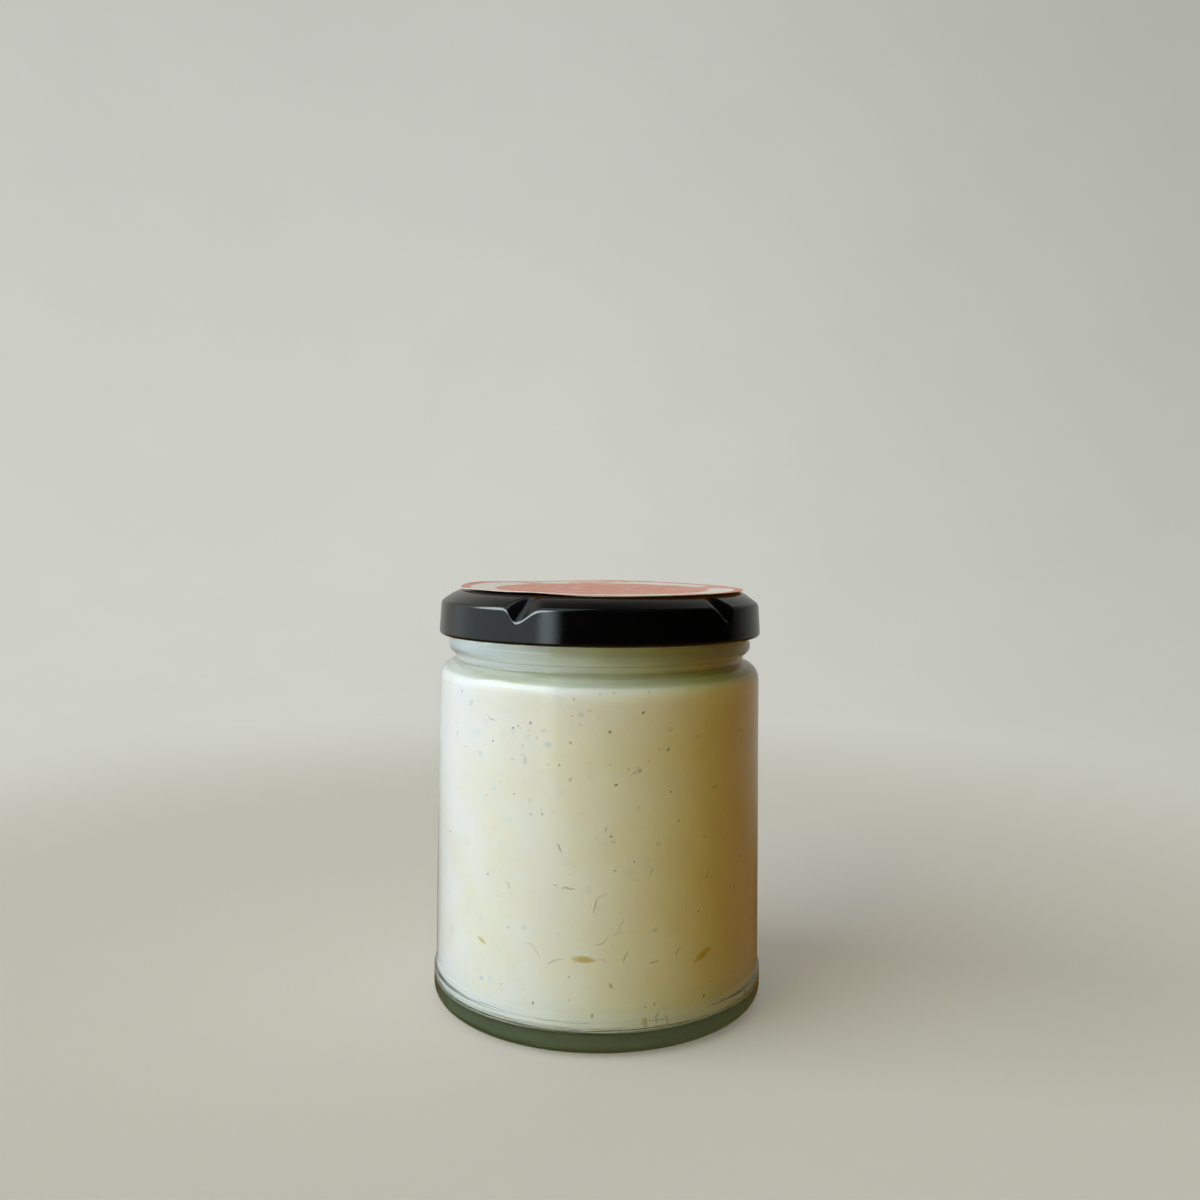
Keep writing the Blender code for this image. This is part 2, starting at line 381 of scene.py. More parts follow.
def glassOutline(g):
    rim = jarBox["top"]
    heel = jarBox["right"]
    corners = [
        (0.0, g["pushUp"], 0.0),
        (*g["pushUpEdge"], 6.0),
        (g["bearingInner"], 0.0, 1.0),
        (heel, 0.0, g["heelRound"]),
        (heel, g["bandTop"], 0.3),
        (g["bodyFoot"], g["bandTop"] + g["bandStep"], 0.35),
        (g["bodyTop"], g["shoulderZ"], g["shoulderRound"]),
        (g["neckRadius"], g["neckFoot"], 0.7),
        (g["neckRadius"], g["beadFoot"], 0.4),
        (g["beadRadius"], g["beadFoot"], g["beadRound"]),
        (g["beadRadius"], g["beadTop"], g["beadRound"]),
        (g["finishRadius"], g["beadTop"], 0.5),
        (g["finishRadius"], rim, g["rimRound"]),
        (g["mouthRadius"], rim, 0.6),
        (g["mouthRadius"], g["mouthFoot"], 1.5),
        (g["boreRadius"], g["boreTop"], g["boreTopRound"]),
        (g["boreRadius"], g["floorZ"], g["floorRound"]),
        (0.0, g["floorZ"] + g["floorCrown"], 0.0),
    ]
    return fillLong(roundCorners(corners), longest=2.5)


def glassMaterial(g):
    material, tree, shader, place = newMaterial("clearJarGlass")
    smears = patchesOf(tree, place, *g["roughness"])
    ripple = grainOf(tree, place, *g["ripple"])
    # fine level streaks round the heel
    height = axesOf(tree, place)[2]
    low = remap(tree, height, *inMetres(g["streaksFrom"]))
    high = fallOff(tree, height, inMetres(g["streaksTo"]))
    stretched = vectorCalc(tree, "MULTIPLY", place, g["streakPitch"])
    streaks = times(tree, noiseOf(tree, stretched, 1.0), low, high)
    surface = bumpOf(tree, streaks, *g["streakBump"], ripple)
    feedAll(tree, shader, Base_Color=(*g["tint"], 1.0), Transmission_Weight=1.0, IOR=g["index"])
    feedAll(tree, shader, Roughness=smears, Normal=surface)
    absorb = (*g["absorb"], 1.0)
    inside = addNode(tree, "VolumeAbsorption", Color=absorb, Density=g["absorbDensity"])
    feedAll(tree, tree.nodes["Material Output"], Volume=inside.outputs["Volume"])
    return material


def buildGlassJar(g):
    outline = glassOutline(g)
    outer = g["finishRadius"] - 0.05  # just inside the threaded wall

    def withThread(azimuth):
        shaped = []
        for r, z in outline:
            onThread = r > outer and g["beadTop"] < z < jarBox["top"] - g["rimRound"]
            shaped.append((r + threadHeight(g, azimuth, z), z) if onThread else (r, z))
        return shaped

    return turnedPiece("clearJar", evenAzimuths(g["segments"]), withThread, [glassMaterial(g)])


dress(buildGlassJar(glassJar), "glass_jar")
print("glass jar done")


# sauce
sauceFill = {
    "reachIntoWall": 0.25,
    "topZ": 72.8,
    "wave": 0.18,
    "topWaves": ((0.06, 2.0), (0.22, 0.5)),
    "calmEdge": 3.0,
    "segments": 240,
    "filmTop": 83.0,
    "filmThick": 0.45,
    "filmFoot": (33.2, 0.1),
    "filmWave": 0.14,
    "filmWaves": ((0.12, 1.0), (0.5, 0.5)),
    "cream": (0.955, 0.940, 0.850),
    "creamWarm": (0.940, 0.908, 0.750),
    "mottle": ((70.0, 4.0, 0.6), (0.38, 0.66)),
    "faintSpots": {
        "colour": (0.80, 0.87, 0.81), "scale": 260.0, "edges": (0.10, 0.30),
        "patches": ((120.0, 2.0), (0.48, 0.60)), "show": 0.45,
    },
    "yellowSpots": {
        "colour": (0.86, 0.74, 0.42), "scale": 420.0, "edges": (0.06, 0.20),
        "patches": ((190.0, 2.0), (0.50, 0.62)), "show": 0.45,
    },
    "smearPitch": (60.0, 60.0, 1400.0),
    "smearNoise": (1.0, 4.0, 0.6),
    "skinFrom": (72.9, 73.5),
    "skinSmears": (0.38, 0.62, 0.0, 0.35),
    # the shoulder's skin tone, partly painted shade
    "shoulderSkinShade": (0.62, 0.625, 0.42),
    "neckFrom": (75.0, 76.6),
    "neckSkin": (0.93, 0.945, 0.90),
    # a painted darker patch on the neck in front, for the lid's shade and reflection
    "lidShadeFrom": (-20.0, -17.0),
    "lidShadeTo": (33.0, 38.0),
    "lidShadeLean": 2300.0,
    "lidShadeFoot": (79.0, 79.7),
    "lidShadeTone": (0.77, 0.80, 0.58),
    "heelTo": (7.2, 8.2),
    "heelSmears": (0.35, 0.55, 0.5, 1.0),
    "heelTone": (0.985, 0.980, 0.92),
    "roughness": 0.35,
    "lumps": ((420.0, 3.0), (0.25, 0.0003)),
}


def sauceOutline(s, g):
    reach = s["reachIntoWall"]
    wall = g["boreRadius"] + reach
    neck = g["mouthRadius"] + reach
    corners = [
        (0.0, g["floorZ"] + g["floorCrown"] - reach, 0.0),
        (wall, g["floorZ"] - reach, g["floorRound"] + reach),
        (wall, g["boreTop"] + 0.15, g["boreTopRound"]),
        (neck, g["mouthFoot"] + 0.15, 1.3),
        (neck, s["filmTop"], 0.0),
        (neck - s["filmThick"], s["filmTop"] - 0.3, 0.0),
        (neck - s["filmThick"], g["mouthFoot"] - 0.2, 1.0),
        (s["filmFoot"][0] - 0.5, s["topZ"] + s["filmFoot"][1], 0.8),
        (0.0, s["topZ"], 0.0),
    ]
    return fillLong(roundCorners(corners), longest=2.0)


def spotsOf(tree, place, p):
    # round spots that show in patches
    spots = addNode(tree, "TexVoronoi", Vector=place, Scale=p["scale"])
    shown = fallOff(tree, spots.outputs["Distance"], p["edges"])
    return times(tree, shown, patchesOf(tree, place, *p["patches"]), p["show"])


def sauceMaterial(s):
    material, tree, shader, place = newMaterial("creamyHorseradish")
    x, y, height = axesOf(tree, place)
    mottle = patchesOf(tree, place, *s["mottle"])
    colour = mixColour(tree, mottle, s["cream"], s["creamWarm"])
    for spots in (s["faintSpots"], s["yellowSpots"]):
        colour = mixColour(tree, spotsOf(tree, place, spots), colour, spots["colour"])
    # greyer where only a skin of it clings to the shoulder, with painted shade darkening it there as well,
    # paler on the neck
    smears = noiseOf(tree, vectorCalc(tree, "MULTIPLY", place, s["smearPitch"]), *s["smearNoise"])
    onNeck = remap(tree, height, *inMetres(s["neckFrom"]))
    skin = mixColour(tree, onNeck, s["shoulderSkinShade"], s["neckSkin"])
    # a painted darker patch in front, under the lid, standing for the lid's shade and reflection, with a
    # leaning left end
    azimuth = azimuthOf(tree, x, y)
    lean = times(tree, calc(tree, "SUBTRACT", height, s["lidShadeFoot"][1] * mm), s["lidShadeLean"])
    lidShade = remap(tree, calc(tree, "SUBTRACT", azimuth, lean), *s["lidShadeFrom"])
    lidShade = times(tree, lidShade, fallOff(tree, azimuth, s["lidShadeTo"]))
    lidShade = times(tree, lidShade, remap(tree, height, *inMetres(s["lidShadeFoot"])))
    skin = mixColour(tree, lidShade, skin, s["lidShadeTone"])
    skin = mixColour(tree, remap(tree, smears, *s["skinSmears"]), skin, s["cream"])
    colour = mixColour(tree, remap(tree, height, *inMetres(s["skinFrom"])), colour, skin)
    # whiter where the thick heel gathers light
    inHeel = fallOff(tree, height, inMetres(s["heelTo"]))
    inHeel = times(tree, inHeel, remap(tree, smears, *s["heelSmears"]))
    colour = mixColour(tree, inHeel, colour, s["heelTone"])
    lumps = grainOf(tree, place, *s["lumps"])
    feedAll(tree, shader, Base_Color=colour, Roughness=s["roughness"], Normal=lumps)
    return material


def waveAt(place, waves):
    # waves are (pitch, share) pairs
    return sum(share * noise.noise(place * pitch) for pitch, share in waves)


def buildSauce(s, g):
    outline = sauceOutline(s, g)
    calm = g["mouthRadius"]
    neckZ = g["mouthFoot"] + 1.0
    edge = calm + s["calmEdge"]

    def settled(azimuth):
        shaped = []
        for r, z in outline:
            if z > neckZ:
                # the skin on the neck ends in an uneven edge
                place = onRing(azimuth, calm, 0.0) / mm
                z += (z - neckZ) * s["filmWave"] * waveAt(place, s["filmWaves"])
            elif s["topZ"] - 0.01 < z < s["topZ"] + 0.2 and r < edge:
                place = onRing(azimuth, r, 0.0) / mm
                z += s["wave"] * waveAt(place, s["topWaves"]) * smoothStep((edge - r) / s["calmEdge"])
            shaped.append((r, z))
        shaped[-1] = (0.0, s["topZ"])
        return shaped

    return turnedPiece("horseradishSauce", evenAzimuths(s["segments"]), settled, [sauceMaterial(s)])


dress(buildSauce(sauceFill, glassJar), "sauce")
print("sauce done")


# what is mixed into the sauce and shows against the glass
mixedIn = {
    "seed": 11,
    "glassRadius": 36.68,
    "glassIndex": 1.5,
    "wallRadius": glassJar["boreRadius"] + sauceFill["reachIntoWall"],
    "lowest": 8.0,
    "highest": 72.2,
    "frontHalfAngle": 72.0,
    "tilt": 90.0,
    "grainScale": 2500.0,
    "roughness": 0.45,
}

# where the photo shows the plain ones, in its own pixels: place, length and width in mm, tilt in degrees
seenSpecks = {
    "topRight": ((643, 713), 0.95, 0.75, 20),
    "upper": ((610, 732), 0.90, 0.80, 0),
    "cornerClusterA": ((513, 728), 0.60, 0.45, 30),
    "cornerClusterB": ((518, 726), 0.55, 0.40, -20),
    "underSprig": ((616, 785), 0.95, 0.60, 20),
    "middle": ((671, 792), 0.50, 0.45, 0),
    "right": ((678.5, 821), 0.55, 0.50, 0),
    "centreA": ((611, 836.5), 0.55, 0.45, 10),
    "centreB": ((612, 842), 0.35, 0.35, 0),
    "lowerA": ((654, 1004), 0.45, 0.40, 0),
    "lowerB": ((533, 1002), 0.50, 0.45, 0),
    "lowerC": ((592, 1016), 0.50, 0.55, 0),
    "rightLow": ((698, 911), 0.60, 0.50, 0),
    "rimA": ((600, 695), 0.35, 0.30, 0),
    "rimB": ((614, 694), 0.35, 0.30, 0),
    "rimC": ((574, 699.5), 0.45, 0.35, 0),
    "rimD": ((649, 693), 0.40, 0.30, 0),
    "farRight": ((739, 730), 0.70, 0.60, 0),
    "smallA": ((580.5, 725), 0.35, 0.35, 0),
    "smallB": ((512, 759), 0.35, 0.30, 0),
    "smallC": ((514, 794), 0.40, 0.35, 0),
    "smallD": ((569, 1000), 0.35, 0.30, 0),
    "smallE": ((634, 862), 0.35, 0.35, 0),
    "smallF": ((744, 860), 0.50, 0.60, 0),
}
seenFlecks = {
    "corner": ((530.5, 723), 0.9, 0.7, 60),
    "left": ((493, 741), 0.7, 0.5, 70),
    "farRight": ((741, 740), 0.9, 0.5, 80),
    "upperRight": ((668, 750), 1.0, 0.6, 50),
    "right": ((703.5, 995.5), 1.0, 0.7, 80),
    "lowA": ((654, 1004), 0.9, 0.4, 80),
    "lowB": ((645, 1007), 0.5, 0.4, 0),
    "lowC": ((592, 1016), 0.8, 0.6, 70),
    "lowD": ((533, 1003), 0.7, 0.5, 70),
    "lowE": ((569, 977), 0.5, 0.4, 0),
    "edge": ((743, 992), 1.6, 0.9, 60),
    "stemTop": ((640, 771), 0.9, 0.7, 40),
}
seenSmudges = {
    "blue": ((543.5, 731), 1.5, 1.3, 30),
    "grey": ((581.5, 715), 1.4, 1.2, 0),
    "right": ((670, 730), 1.5, 1.2, 0),
    "green": ((715, 787), 2.2, 1.3, 10),
    "stem": ((669, 749), 1.3, 0.9, 60),
    "mid": ((638, 808), 1.4, 0.9, 60),
    "low": ((524, 928), 1.6, 1.2, 20),
    "left": ((471, 703), 2.0, 1.2, 50),
    "corner": ((548, 745), 2.2, 1.8, 0),
    "far": ((698, 737), 1.6, 1.2, 0),
    "edge": ((457, 733), 1.0, 1.8, 0),
    "centre": ((530, 800), 1.4, 1.2, 0),
}
# a strand's bend is how far its middle stands off the straight line between its ends, in mm
seenStrands = {
    "forkedSprig": ((635, 774), 3.0, 0.28, 24, 0.25),
    "sprigFork": ((638.5, 768.5), 0.9, 0.26, 75, 0.1),
    "uprightStem": ((707, 874.5), 2.0, 0.42, 70, 0.1),
    "shortDash": ((568, 889), 2.9, 0.40, -4, 0.15),
    "dashTail": ((555.5, 885.5), 0.9, 0.25, -20, 0.0),
    "thinCurve": ((507, 886), 2.4, 0.22, -60, 0.5),
    "paleRing": ((522, 760), 2.6, 0.24, -55, 0.9),
    "ringEnd": ((526, 762), 1.4, 0.22, 70, 0.5),
    "blueStrand": ((555, 962), 4.2, 0.26, 24, 0.3),
    "slantedStrand": ((626.5, 958), 3.0, 0.26, 68, 0.4),
    "curvedStrand": ((679.5, 953), 2.9, 0.34, 52, 0.7),
    "thinRightStrand": ((734, 887), 2.6, 0.32, 76, 0.2),
    "curledHerb": ((659.5, 1018), 2.6, 0.34, 80, 0.8),
    "curledHerbArm": ((664.5, 1021), 1.9, 0.32, -65, 0.5),
    "faintRightStem": ((652, 872), 2.2, 0.20, 68, 0.2),
    "leftStem": ((452, 930), 2.2, 0.18, -80, 0.1),
}
seenHusks = {
    "middle": ((583, 960), 6.0, 1.7, -3),
    "right": ((702, 954.5), 6.6, 2.1, 26),
    "left": ((482, 940), 3.2, 1.1, -24),
}
seenCrumbs = {
    "amberA": ((522.5, 745.5), 0.6, 0.5, 0),
    "amberB": ((570.5, 743), 0.9, 0.6, -20),
    "amberC": ((710, 980.5), 0.6, 0.5, 0),
    "orange": ((610.5, 986), 1.5, 0.6, -60),
    "brown": ((644.5, 1023), 1.3, 1.9, 0),
    "brownDash": ((653.5, 962.5), 2.3, 0.5, 12),
    "crumbD": ((572, 716), 0.5, 0.4, 0),
    "crumbE": ((590, 711), 0.5, 0.4, 0),
    "crumbF": ((659, 750), 0.6, 0.5, 0),
    "crumbG": ((570, 780), 1.0, 0.8, 60),
    "crumbH": ((615, 871), 0.8, 0.6, -20),
    "crumbI": ((501, 782), 0.5, 0.4, 0),
    "crumbJ": ((610, 765), 0.5, 0.4, 0),
}
seenShreds = {
    "crookedShred": ((622, 926), 3.2, 0.6, 72, 0.5),
    "shredTail": ((617, 935), 2.6, 0.5, 20, 0.3),
    "huskShred": ((602, 962), 2.0, 0.6, -30, 0.5),
    "lowShred": ((600, 905), 5.0, 0.7, 62, 1.2),
    "leftShred": ((530, 950), 4.4, 0.7, -35, 1.0),
}


def towards(start, direction, radius):
    # first point where a ray meets an upright cylinder, all in mm
    a = direction.x ** 2 + direction.y ** 2
    b = start.x * direction.x + start.y * direction.y
    c = start.x ** 2 + start.y ** 2 - radius ** 2
    return start + direction * (-b - math.sqrt(b * b - a * c)) / a


def onSauceWall(m, pixel):
    # follows the camera's ray through a photo pixel, bent by the glass, to the sauce behind it
    width = cameraView["photoWidth"]
    focal = cameraView["lens"] / cameraView["sensor"] * width
    rise = width * (0.5 + cameraView["shiftY"]) - pixel[1]
    ray = camera.matrix_world.to_3x3() @ Vector((pixel[0] - width / 2.0, rise, -focal)).normalized()
    outside = towards(camera.matrix_world.translation / mm, ray, m["glassRadius"])
    normal = Vector((outside.x, outside.y, 0.0)).normalized()
    ratio = 1.0 / m["glassIndex"]
    facing = -normal.dot(ray)
    bent = ray * ratio + normal * (ratio * facing - math.sqrt(1.0 - ratio ** 2 * (1.0 - facing ** 2)))
    wall = towards(outside, bent, m["wallRadius"])
    return math.degrees(math.atan2(wall.x, -wall.y)), wall.z


def wrapped(m, azimuth, z, tilt, points):
    # lays flat points (along, across, outwards) on the sauce wall
    turn = math.radians(tilt)
    placed = []
    for along, across, out in points:
        u = along * math.cos(turn) - across * math.sin(turn)
        v = along * math.sin(turn) + across * math.cos(turn)
        placed.append(onRing(azimuth + math.degrees(u / m["wallRadius"]), m["wallRadius"] + out, z + v))
    return placed


def crumbShape(rng, length, width, bend=0.0, pointed=0.0, rough=0.28, rise=0.25):
    # a flat irregular crumb, made of rings from under the sauce, over its sunk outline, up to its middle
    count = 14 if pointed else 10
    top = min(0.09, rise * width)
    # a ring is (share of the outline, height off the wall, how far the cream covers it)
    rings = [(0.75, -0.08, 1.0), (1.0, -0.012, 1.0), (0.93, top * 0.3, 1.0), (0.70, top * 0.85, 0.3)]
    wobble = [1.0 + rng.uniform(-rough, rough) for _ in range(count)]
    points = []
    veils = []
    for share, out, veil in rings:
        veils += [veil] * count
        for index in range(count):
            angle = math.tau * index / count
            taper = 1.0 - pointed * abs(math.cos(angle)) ** 2
            along = 0.5 * length * math.cos(angle) * share * (1.0 if pointed else wobble[index])
            across = 0.5 * width * math.sin(angle) * share * taper * wobble[index]
            points.append((along, across + bend * (1.0 - (2.0 * along / length) ** 2), out))
    points.append((0.0, bend, -0.10))
    points.append((0.0, bend, top))
    veils += [1.0, 0.0]
    faces = []
    for ring in range(len(rings) - 1):
        for index in range(count):
            a = ring * count + index
            b = ring * count + (index + 1) % count
            faces.append((a, b, b + count, a + count))
    low = len(rings) * count
    for index in range(count):
        following = (index + 1) % count
        faces.append((following, index, low))
        faces.append((low - count + index, low - count + following, low + 1))
    return points, faces, veils


def strandShape(rng, length, width, bend):
    # a thin tapering strand with a slight kink, flat against the glass
    steps = 12
    sides = 6
    points = []
    veils = []
    kink = rng.uniform(-0.3, 0.3) * width
    for step in range(steps + 1):
        share = 2.0 * step / steps - 1.0
        along = 0.5 * length * share
        across = bend * (1.0 - share * share) + kink * math.sin(5.0 * share)
        thick = 0.5 * width * (1.0 - 0.75 * abs(share) ** 3) * rng.uniform(0.75, 1.2)
        patch = max(0.0, rng.uniform(-0.4, 0.5))
        for side in range(sides):
            angle = math.tau * side / sides
            points.append((along, across + thick * math.sin(angle), 0.4 * thick * math.cos(angle)))
            veils.append(min(1.0, 0.5 * abs(math.sin(angle)) + 0.7 * abs(share) ** 3 + patch))
    faces = [tuple(reversed(range(sides))), tuple(range(steps * sides, (steps + 1) * sides))]
    for step in range(steps):
        for side in range(sides):
            a = step * sides + side
            b = step * sides + (side + 1) % sides
            faces.append((a, b, b + sides, a + sides))
    return points, faces, veils


def crumbMaterial(name, m, kind):
    material, tree, shader, place = newMaterial(name)
    each = addNode(tree, "NewGeometry").outputs["Random Per Island"]
    grain = noiseOf(tree, place, m["grainScale"])
    colour = mixColour(tree, times(tree, plus(tree, each, grain), 0.5), kind["dark"], kind["light"])
    # the cream laps over each edge
    veil = addNode(tree, "Attribute", {"attribute_name": "veil"}).outputs["Fac"]
    colour = mixColour(tree, veil, colour, sauceFill["cream"])
    feedAll(tree, shader, Base_Color=colour, Roughness=m["roughness"])
    return material


def strewn(m, rng, kind):
    # places all round the jar, fewer of them in front, where the seen ones already are
    places = []
    while len(places) < kind["count"]:
        azimuth = rng.uniform(-180.0, 180.0)
        z = rng.uniform(m["lowest"], m["highest"])
        if abs(azimuth) > m["frontHalfAngle"] or rng.random() < kind["frontShare"]:
            places.append((azimuth, z))
    return places


def buildCrumbs(m, name, kind):
    rng = random.Random(m["seed"] + len(name))
    shape = kind["shape"]
    verts = []
    faces = []
    veils = []

    def add(azimuth, z, tilt, made):
        points, sides, covered = made
        veils.extend(covered)
        first = len(verts)
        verts.extend(wrapped(m, azimuth, z, tilt, points))
        faces.extend([tuple(first + index for index in side) for side in sides])

    for pixel, length, width, tilt, *bend in kind["seen"].values():
        azimuth, z = onSauceWall(m, pixel)
        add(azimuth, z, tilt, shape(rng, length, width, *bend))
    for azimuth, z in strewn(m, rng, kind):
        length = rng.uniform(*kind["length"]) * rng.uniform(0.5, 1.0)
        width = min(length, rng.uniform(*kind["width"]))
        bend = [rng.uniform(-0.2, 0.2) * length] if shape is strandShape else []
        steepest = kind.get("tilt", m["tilt"])
        add(azimuth, z, rng.uniform(-steepest, steepest), shape(rng, length, width, *bend))
    piece = addPiece(name, verts, faces, [crumbMaterial(name + "Colour", m, kind)])
    piece.data.attributes.new("veil", "FLOAT", "POINT").data.foreach_set("value", veils)
    dress(piece, None)


def smudgeShape(rng, length, width):
    return crumbShape(rng, length, width, rough=0.2, rise=0.012)


def huskShape(rng, length, width):
    return crumbShape(rng, length, width, rng.uniform(-0.12, 0.12), pointed=0.55, rough=0.05)


# the seen ones, and how many more are strewn, with their sizes in mm
crumbKinds = {
    "pepperSpecks": {
        "seen": seenSpecks, "shape": crumbShape, "count": 90, "frontShare": 0.4,
        "length": (0.30, 0.75), "width": (0.25, 0.6),
        "dark": (0.09, 0.10, 0.10), "light": (0.40, 0.42, 0.38),
    },
    "herbFlecks": {
        "seen": seenFlecks, "shape": crumbShape, "count": 50, "frontShare": 0.3,
        "length": (0.5, 1.3), "width": (0.3, 0.7),
        "dark": (0.15, 0.24, 0.20), "light": (0.50, 0.58, 0.48),
    },
    "fadedSmudges": {
        "seen": seenSmudges, "shape": smudgeShape, "count": 80, "frontShare": 0.4,
        "length": (0.9, 2.2), "width": (0.7, 1.6),
        "dark": (0.66, 0.73, 0.69), "light": (0.85, 0.87, 0.79),
    },
    "herbStrands": {
        "seen": seenStrands, "shape": strandShape, "count": 28, "frontShare": 0.2,
        "length": (1.6, 4.2), "width": (0.18, 0.34),
        "dark": (0.16, 0.28, 0.24), "light": (0.54, 0.62, 0.52),
    },
    "mustardHusks": {
        "seen": seenHusks, "shape": huskShape, "count": 5, "frontShare": 0.0, "tilt": 35.0,
        "length": (2.8, 5.6), "width": (1.1, 1.8),
        "dark": (0.52, 0.33, 0.04), "light": (0.84, 0.68, 0.26),
    },
    "amberCrumbs": {
        "seen": seenCrumbs, "shape": crumbShape, "count": 60, "frontShare": 0.5,
        "length": (0.4, 0.9), "width": (0.3, 0.7),
        "dark": (0.64, 0.42, 0.18), "light": (0.88, 0.74, 0.50),
    },
    "rootShreds": {
        "seen": seenShreds, "shape": strandShape, "count": 20, "frontShare": 0.2,
        "length": (3.0, 6.5), "width": (0.4, 0.8),
        "dark": (0.90, 0.87, 0.72), "light": (0.96, 0.94, 0.84),
    },
}
for kindName, crumbKind in crumbKinds.items():
    buildCrumbs(mixedIn, kindName, crumbKind)
print("herbs and specks done")


# twist-off lid
twistLid = {
    "panelZ": lidBox["top"],
    "panelRadius": 31.9,
    "panelRound": 1.1,
    "ridgeTop": (35.95, 89.4),
    "ridgeRound": 1.4,
    "slopeBulge": 0.22,
    "skirtTop": 36.28,
    "skirtFoot": 36.62,
    "curlZ": lidBox["bottom"],
    "curlRise": 1.8,
    "curlOut": 0.08,
    "curlRound": 0.70,
    "curlWidth": 1.55,
    "curlHeight": 1.5,
    "curlInnerRounds": (0.6, 0.5),
    "sheet": 0.4,
    "slopeSteps": 9,
    "slopeStop": 0.75,
    "skirtSteps": 7,
    "skirtStart": 1.3,
    "skirtHeight": 7.0,
    "insideGap": 0.15,
    "insideFoot": 1.9,
    "insideRidge": (0.6, 0.75),
    "insidePanel": 0.45,
    "insideRound": 0.3,
    "creaseRound": 1.3,
    "keelRound": 1.7,
    "keelHead": (32.2, 91.5),
    "keelFoot": (36.5, 86.15),
    "flankRise": 3.45,
    "arcSteps": 8,
    "fineStep": 0.33,
    "coarseStep": 1.0,
    "fineReach": 13.0,
    "black": (0.0025, 0.0025, 0.0027),
    "dusty": (0.012, 0.012, 0.012),
    "dust": ((900.0, 6.0, 0.7), (0.60, 0.80)),
    "dustPatches": ((60.0, 3.0), (0.40, 0.70)),
    "roughness": ((220.0, 5.0, 0.65), (0.35, 0.75), (0.08, 0.18)),
    "gloss": 1.9,
    "orangePeel": ((1300.0, 2.0), (0.05, 0.0001)),
    "softWave": ((110.0, 1.0), (0.10, 0.0004)),
    "lacquer": (0.50, 0.36, 0.14),
    "lacquerDark": (0.40, 0.27, 0.10),
    "lacquerNoise": (200.0, 3.0),
    "lacquerMetal": 0.8,
    "lacquerRoughness": 0.35,
}

# each dent runs from the panel (head) out to the skirt (foot); its flanks reach so far left and right
lidDents = {
    "frontLeft": {"head": -25.5, "foot": -28.0, "left": 5.0, "right": 9.0},
    "frontRight": {"head": 45.0, "foot": 48.0, "left": 7.0, "right": 2.5},
    "rightSide": {"head": 86.0, "foot": 88.0, "left": 9.0, "right": 8.0},
    "back": {"head": 162.0, "foot": 160.0, "left": 9.0, "right": 5.0},
    "leftSide": {"head": -110.0, "foot": -108.0, "left": 5.0, "right": 8.0},
}


def dentCeiling(k, radius, azimuth):
    along = (radius - k["keelHead"][0]) / (k["keelFoot"][0] - k["keelHead"][0])
    keelZ = k["keelHead"][1] + (k["keelFoot"][1] - k["keelHead"][1]) * along
    lowest = k["panelZ"] + 5.0
    for dent in lidDents.values():
        away = turnFrom(azimuth, dent["head"] + (dent["foot"] - dent["head"]) * along)
        flank = dent["right"] if away > 0 else dent["left"]
        soft = math.hypot(away, k["keelRound"]) - k["keelRound"]
        full = math.hypot(flank, k["keelRound"]) - k["keelRound"]
        lowest = min(lowest, keelZ + k["flankRise"] * soft / full)
    return lowest


def slopeHeight(k, radius, azimuth):
    # the shoulder between the panel and the ridge, with the dents pressed in
    start, end = k["panelRadius"], k["ridgeTop"][0]
    share = (radius - start) / (end - start)
    plain = k["panelZ"] + (k["ridgeTop"][1] - k["panelZ"]) * share
    plain += k["slopeBulge"] * math.sin(math.pi * min(1.0, max(0.0, share)))
    return smoothMin(plain, dentCeiling(k, radius, azimuth), k["creaseRound"])


def lidOutline(k, azimuth):
    panelR, ridgeR, footR = k["panelRadius"], k["ridgeTop"][0], k["skirtFoot"]
    corners = [(0.0, k["panelZ"], 0.0), (panelR, k["panelZ"], k["panelRound"])]
    for index in range(1, k["slopeSteps"]):
        r = panelR + (ridgeR - k["slopeStop"] - panelR) * index / (k["slopeSteps"] - 1)
        corners.append((r, slopeHeight(k, r, azimuth), 0.0))
    ridgeZ = slopeHeight(k, ridgeR, azimuth)
    flare = footR - k["skirtTop"]
    skirtTopR = k["skirtTop"] + flare * (k["ridgeTop"][1] - ridgeZ) / k["skirtHeight"]
    corners.append((skirtTopR, slopeHeight(k, skirtTopR, azimuth), k["ridgeRound"]))
    startZ = ridgeZ - k["skirtStart"]
    curlTop = k["curlZ"] + k["curlRise"]
    for index in range(1, k["skirtSteps"] + 1):
        z = startZ + (curlTop - startZ) * index / k["skirtSteps"]
        share = (k["ridgeTop"][1] - z) / (k["ridgeTop"][1] - curlTop)
        corners.append((k["skirtTop"] + flare * share, z, 0.0))
    # round the rolled edge and back up the inside
    inner = footR - k["sheet"] - k["insideGap"]
    ridgeInset, ridgeDrop = k["insideRidge"]
    ridgeInside = min(ridgeZ, slopeHeight(k, inner - ridgeInset, azimuth)) - ridgeDrop
    panelInside = min(k["panelZ"], slopeHeight(k, panelR, azimuth)) - k["insidePanel"]
    return corners + [
        (footR + k["curlOut"], k["curlZ"], k["curlRound"]),
        (footR - k["curlWidth"], k["curlZ"], k["curlInnerRounds"][0]),
        (footR - k["curlWidth"], k["curlZ"] + k["curlHeight"], k["curlInnerRounds"][1]),
        (inner, k["curlZ"] + k["insideFoot"], k["insideRound"]),
        (inner - k["sheet"], ridgeInside, k["insideRound"]),
        (panelR, panelInside, k["insideRound"]),
        (0.0, k["panelZ"] - k["sheet"], 0.0),
    ]


def lidAzimuths(k):
    # close together round the dents, wider apart elsewhere
    azimuths = []
    azimuth = -180.0
    while azimuth < 180.0 - 0.01:
        azimuths.append(azimuth)
        near = min(abs(turnFrom(azimuth, dent["foot"])) for dent in lidDents.values())
        azimuth += k["fineStep"] if near < k["fineReach"] else k["coarseStep"]
    return azimuths


